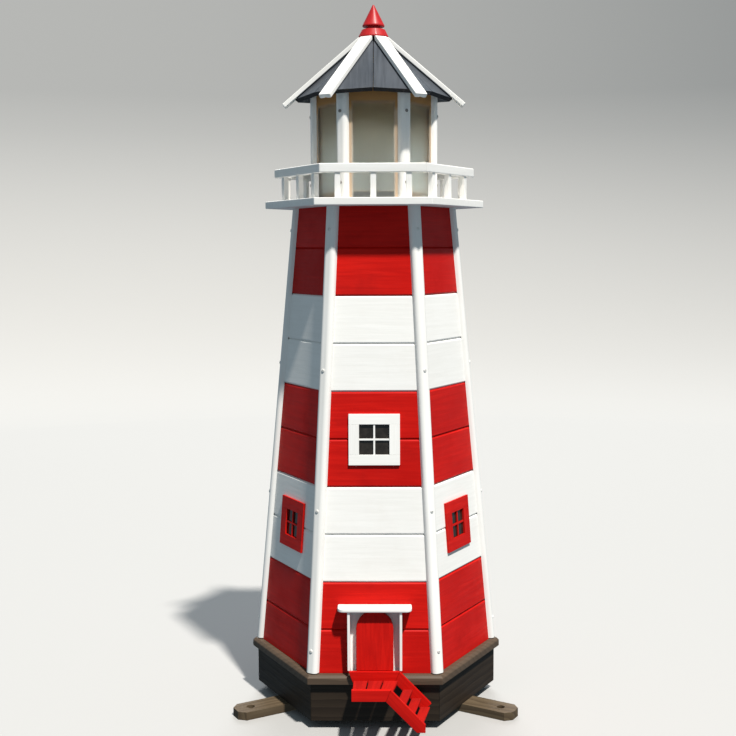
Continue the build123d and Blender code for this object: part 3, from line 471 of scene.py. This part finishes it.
def solids_of(node):
    """The closed solids of a CAD node: for each its corner points and its triangles."""
    mesh = NODES[node].data
    points = []
    number_of = {}
    welded = []
    for vertex in mesh.vertices:
        key = tuple(round(c * WELD_GRID) for c in vertex.co)
        if key not in number_of:
            number_of[key] = len(points)
            points.append(tuple(vertex.co))
        welded.append(number_of[key])
    solids = []
    open_edges = {}
    current = []
    for polygon in mesh.polygons:
        corners = [welded[index] for index in polygon.vertices]
        if len(set(corners)) == len(corners):
            current.append(corners)
        for start, end in zip(corners, corners[1:] + corners[:1]):
            if start == end:
                continue
            if open_edges.get((end, start)):
                open_edges[(end, start)] -= 1
                if not open_edges[(end, start)]:
                    del open_edges[(end, start)]
            else:
                open_edges[(start, end)] = open_edges.get((start, end), 0) + 1
        if not open_edges and current:
            solids.append(current)
            current = []
    if current:
        solids.append(current)
    result = []
    for triangles in solids:
        used = sorted({corner for triangle in triangles for corner in triangle})
        place = {corner: number for number, corner in enumerate(used)}
        result.append((
            [Vector(points[corner]) for corner in used],
            [[place[corner] for corner in triangle] for triangle in triangles],
        ))
    return result


def own_axes(points, along=None):
    """Length, width and thickness directions of a piece, and its middle."""
    cloud = np.array([tuple(p) for p in points])
    middle = (cloud.min(0) + cloud.max(0)) / 2
    _, _, rows = np.linalg.svd(cloud - cloud.mean(0), full_matrices=False)
    axes = [Vector(row) for row in rows]
    if along is not None:
        first = Vector(along).normalized()
        second = max(axes, key=lambda axis: (axis - first * axis.dot(first)).length)
        second = (second - first * second.dot(first)).normalized()
        axes = [first, second, first.cross(second)]
    return axes, Vector(middle)


def timber(node, bevel, segments=2, along=None, sharpest=25, material=None, end_material=None):
    """A copy of a wooden node with eased edges, and grain coordinates along each of its pieces.

    Edges sharper than sharpest, in degrees, are eased by bevel. along is the direction of the grain, or
    a function that gives it for a piece, and is the piece's own length where it is left out.
    """
    vertices = []
    faces = []
    place = []
    grain = []
    piece = []
    on_end = []
    for points, triangles in solids_of(node):
        axes, middle = own_axes(points, along(points) if callable(along) else along)
        thin = own_axes(points)[0][2]
        shift = Vector((rng.uniform(0, 9), rng.uniform(0, 9), rng.uniform(0, 9)))
        tint = rng.random()
        solid = bmesh.new()
        corners = [solid.verts.new(p) for p in points]
        for triangle in triangles:
            solid.faces.new([corners[index] for index in triangle])
        solid.normal_update()
        bmesh.ops.dissolve_limit(
            solid, angle_limit=radians(FLAT_ANGLE), verts=solid.verts, edges=solid.edges,
            use_dissolve_boundaries=False)
        solid.normal_update()
        sharp = [
            edge for edge in solid.edges
            if len(edge.link_faces) == 2 and edge.calc_face_angle(0) > radians(sharpest)
        ]
        bmesh.ops.bevel(
            solid, geom=sharp, offset=bevel, offset_type="OFFSET", segments=segments, profile=0.5,
            affect="EDGES", clamp_overlap=True)
        solid.verts.ensure_lookup_table()
        solid.verts.index_update()
        base = len(vertices)
        for vertex in solid.verts:
            vertices.append(vertex.co.copy())
            offset = vertex.co - middle
            place.append(Vector([offset.dot(axis) for axis in axes]))
            grain.append(place[-1] + shift)
            piece.append(tint)
        for face in solid.faces:
            faces.append([base + vertex.index for vertex in face.verts])
            on_end.append(int(abs(face.normal.dot(thin)) < END_COSINE))
        solid.free()
    mesh = bpy.data.meshes.new(node)
    mesh.from_pydata(vertices, [], faces)
    for name, values in (("place", place), ("grain", grain)):
        mesh.attributes.new(name, "FLOAT_VECTOR", "POINT").data.foreach_set(
            "vector", [c for v in values for c in v])
    mesh.attributes.new("piece", "FLOAT", "POINT").data.foreach_set("value", piece)
    smooth(mesh, SMOOTH_ANGLE)
    mesh.update()
    part = bpy.data.objects.new(node + "_look", mesh)
    weighted = part.modifiers.new("weighted", "WEIGHTED_NORMAL")
    weighted.keep_sharp = True
    weighted.weight = LARGE_FACE_WEIGHT
    mesh.materials.append(material or MATERIALS[SLOT_OF[node]])
    if end_material is not None:
        mesh.materials.append(end_material)
        mesh.polygons.foreach_set("material_index", on_end)
    stand_for(part, node)


def smooth(mesh, angle):
    """Smooth shading, with an edge kept sharp where its faces meet at more than the angle, in degrees."""
    mesh.polygons.foreach_set("use_smooth", [True] * len(mesh.polygons))
    mesh.set_sharp_from_angle(angle=radians(angle))


def stand_for(part, node):
    """The part is shown in the node's place and moves with its body."""
    bpy.context.scene.collection.objects.link(part)
    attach(part, BODY_OF[node])
    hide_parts(node)


def up_slope(points):
    """Direction up the roof facet that a board lies on."""
    middle = sum(points, Vector()) / len(points)
    facet = round((np.degrees(np.arctan2(middle.y, middle.x)) + 90) / 60) * 60 - 90
    inwards = -Vector((cos(radians(facet)), sin(radians(facet)), 0))
    return inwards + Vector((0, 0, ROOF_RISE))


def make_timber():
    """Every board, bar and sheet of the part, each with how far its edges are eased."""
    for number in range(1, 11):
        timber(f"cover_course_{number:02d}", 0.0007)
    for node in NODES:
        if node.startswith("corner_batten_") and node != "corner_batten_screws":
            timber(node, 0.001)
        if node.startswith("anchor_lug_") and node != "anchor_lug_screws":
            timber(node, 0.0025, 3)
    timber("plinth_boards", 0.0015)
    timber("base_slab", 0.0015, along=(1, 0, 0))
    for node in ("tower_corner_posts", "tower_ring_bottom", "tower_ring_top"):
        timber(node, 0.001)
    for node in ("window_frames_white", "window_frames_red", "window_muntins_white", "window_muntins_red"):
        timber(node, 0.0005)
    timber("door_back_panel", 0.0006, along=(0, 0, 1))
    timber("door", 0.002, 3, along=(0, 0, 1))
    timber("porch_side_left", 0.0008)
    timber("porch_side_right", 0.0008)
    timber("porch_canopy", 0.0018, 3)
    timber("stair_back_side", 0.0012)
    timber("stair_front_side", 0.0012)
    timber("landing_planks", 0.0008, material=DARK_TREAD_RED)
    timber("stair_treads", 0.0008, material=DARK_TREAD_RED)
    timber("balcony_deck", 0.002, 3, along=(1, 0, 0))
    timber("balcony_balusters", 0.001)
    timber("balcony_handrail", 0.0018, 3)
    for node in ("lantern_sill_ring", "lantern_top_ring", "lantern_corner_posts", "lantern_cover_strips"):
        timber(node, 0.001)
    timber("roof_boards", 0.001, along=up_slope, end_material=ROOF_EDGE_DARK_AND_SHADE)
    timber("hip_battens", 0.0014, 3)
    for node in ("roof_rest_ring", "roof_locating_blocks", "roof_king_block"):
        timber(node, 0.001)
    timber("finial", 0.0008, 3, along=(0, 0, 1), sharpest=18)
    timber("lantern_panes", 0.0003, 1, along=(0, 0, 1))
    timber("window_panes", 0.0003, 1)


# ---------------------------------------------------------------- hardware

HEAD_RADIUS = 0.0032  # of a screw
HEAD_HEIGHT = 0.0018
SHANK_RADIUS = 0.00175
SCREW_SIDES = 32
BULB_SIDES = 64
BULB_NECK_RADIUS = 0.0145
BULB_CAP_RADIUS = 0.013
CAP_THREAD_DEPTH = 0.0011
CAP_THREAD_PITCH = 0.0035
ON_AXIS = 1e-7  # a smaller radius is a point on the axis
SAME_PLANE = 1e-5


def lathe(profile, around):
    """Closed mesh turned from (radius, height) points, the first and the last of them on the axis."""
    shape = bmesh.new()
    rings = []
    for radius, height in profile:
        if radius < ON_AXIS:
            rings.append([shape.verts.new((0, 0, height))])
            continue
        ring = []
        for step in range(around):
            turn = 2 * pi * step / around
            ring.append(shape.verts.new((radius * cos(turn), radius * sin(turn), height)))
        rings.append(ring)
    for lower, upper in zip(rings, rings[1:]):
        for step in range(around):
            following = (step + 1) % around
            corners = [
                lower[step % len(lower)], lower[following % len(lower)],
                upper[following % len(upper)], upper[step % len(upper)],
            ]
            kept = []
            for corner in corners:
                if corner not in kept:
                    kept.append(corner)
            if len(kept) > 2:
                shape.faces.new(kept)
    bmesh.ops.recalc_face_normals(shape, faces=shape.faces)
    mesh = bpy.data.meshes.new("turned")
    shape.to_mesh(mesh)
    shape.free()
    smooth(mesh, SMOOTH_ANGLE)
    return mesh


def ridged(radius, depth, bottom, top, pitch):
    """Profile points of a threaded stretch, as rings."""
    points = []
    height = bottom
    while height < top - pitch:
        points += [(radius - depth, height), (radius, height + pitch * 0.5)]
        height += pitch
    return points + [(radius - depth, top)]


def screw_mesh(length):
    """Pan head screw with a cross recess, its seat at z = 0 and its shank along -Z."""
    dome_steps = 8
    rim = 0.35  # height of the head's rim, as a share of the head's
    dome = []
    for step in range(dome_steps):
        turn = radians(90 * step / dome_steps)
        dome.append((HEAD_RADIUS * cos(turn) ** 0.55, HEAD_HEIGHT * (rim + (1 - rim) * sin(turn))))
    dome.append((0.0, HEAD_HEIGHT))
    tip = [(0.0, -length), (SHANK_RADIUS * 0.3, -length * 0.97)]
    thread = ridged(
        SHANK_RADIUS, depth=SHANK_RADIUS * 0.22, bottom=-length * 0.9, top=-length * 0.1,
        pitch=SHANK_RADIUS * 0.9)
    neck = [(SHANK_RADIUS, -length * 0.06), (SHANK_RADIUS, 0.0), (HEAD_RADIUS * 0.97, 0.0)]
    body = bpy.data.objects.new("screw_body", lathe(tip + thread + neck + dome, SCREW_SIDES))
    wing_length = HEAD_RADIUS * 1.1
    wing_width = HEAD_RADIUS * 0.26
    wing_depth = HEAD_HEIGHT * 1.2
    wing_middle = HEAD_HEIGHT * 0.95
    cutter = bmesh.new()
    for turn in (0, 90):
        wing = bmesh.ops.create_cube(cutter, size=1.0)["verts"]
        for vertex in wing:
            taper = 0.75 if vertex.co.z < 0 else 1.1
            vertex.co = Vector((
                vertex.co.x * wing_length * taper,
                vertex.co.y * wing_width * taper,
                vertex.co.z * wing_depth + wing_middle,
            ))
        bmesh.ops.rotate(cutter, verts=wing, cent=(0, 0, 0), matrix=Matrix.Rotation(radians(turn), 3, "Z"))
    cross = bpy.data.meshes.new("cross")
    cutter.to_mesh(cross)
    cutter.free()
    tool = bpy.data.objects.new("cross", cross)
    for thing in (body, tool):
        bpy.context.scene.collection.objects.link(thing)
    cut = body.modifiers.new("cut", "BOOLEAN")
    cut.operation = "DIFFERENCE"
    cut.solver = "EXACT"
    cut.use_self = True
    cut.object = tool
    bpy.context.view_layer.update()
    mesh = bpy.data.meshes.new_from_object(body.evaluated_get(bpy.context.evaluated_depsgraph_get()))
    for thing in (body, tool):
        bpy.data.objects.remove(thing)
    return mesh


def screws(node, material=None):
    """A copy of a node's screws, each with a thread and a cross recess, in the screw's own place."""
    shape = bmesh.new()
    prototype = None
    for points, _ in solids_of(node):
        axis = own_axes(points)[0][0]
        centre = sum(points, Vector()) / len(points)
        # The point furthest from the axis is on the head, which is where the axis points to.
        widest = max(points, key=lambda point: ((point - centre) - axis * (point - centre).dot(axis)).length)
        reach = [point.dot(axis) for point in points]
        if widest.dot(axis) < (min(reach) + max(reach)) / 2:
            axis = -axis
            reach = [-distance for distance in reach]
        length = max(reach) - min(reach) - HEAD_HEIGHT
        if prototype is None:
            prototype = screw_mesh(length)
        foot = [point for point, distance in zip(points, reach) if distance - min(reach) < SAME_PLANE]
        seat = sum(foot, Vector()) / len(foot) + axis * length
        turn = Matrix.Rotation(rng.uniform(0, pi), 4, "Z")
        place = Matrix.Translation(seat) @ axis.to_track_quat("Z", "Y").to_matrix().to_4x4() @ turn
        copy = prototype.copy()
        copy.transform(place)
        shape.from_mesh(copy)
        bpy.data.meshes.remove(copy)
    mesh = bpy.data.meshes.new(node)
    shape.to_mesh(mesh)
    shape.free()
    smooth(mesh, SCREW_SMOOTH_ANGLE)
    mesh.materials.append(material or MATERIALS[SLOT_OF[node]])
    stand_for(bpy.data.objects.new(node + "_look", mesh), node)


def make_lamp():
    """Frosted globe bulb on a threaded metal cap, in a plastic holder."""
    low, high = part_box("lamp_bulb")
    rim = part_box("lamp_holder")[1].z
    radius = (high.x - low.x) / 2
    globe = high.z - radius
    joint = rim - 0.002  # height where glass and cap meet
    neck = rim + 0.001  # height where the glass starts to widen
    neck_steps = 10
    globe_steps = 16
    glass = [(0.0, joint), (BULB_NECK_RADIUS, joint), (BULB_NECK_RADIUS, neck)]
    for step in range(1, neck_steps):
        share = step / neck_steps
        ease = share * share * (3 - 2 * share)
        glass.append((BULB_NECK_RADIUS + (radius - BULB_NECK_RADIUS) * ease, neck + (globe - neck) * share))
    for step in range(globe_steps):
        turn = radians(90 * step / globe_steps)
        glass.append((radius * cos(turn), globe + radius * sin(turn)))
    glass.append((0.0, high.z))
    cap = [(0.0, low.z), (0.005, low.z), (0.007, low.z + 0.002)]
    cap += ridged(
        BULB_CAP_RADIUS, depth=CAP_THREAD_DEPTH, bottom=low.z + 0.004, top=rim - 0.003,
        pitch=CAP_THREAD_PITCH)
    cap += [(BULB_CAP_RADIUS, joint), (0.0, joint)]
    for name, profile, material in (
        ("lamp_bulb_glass", glass, MATERIALS["bulb_glass"]),
        ("lamp_bulb_cap", cap, CAP_METAL),
    ):
        part = bpy.data.objects.new(name, lathe(profile, BULB_SIDES))
        part.data.materials.append(material)
        stand_for(part, "lamp_bulb")
    timber("lamp_holder", 0.0008, sharpest=40)
    timber("cable_gland", 0.0006, sharpest=40)


make_camera()
make_floor()
make_lights()
make_timber()
screws("corner_batten_screws", PAINTED_SCREW)
screws("lantern_screws")
screws("anchor_lug_screws")
timber("finial_screw", 0.0003, sharpest=40)
make_lamp()
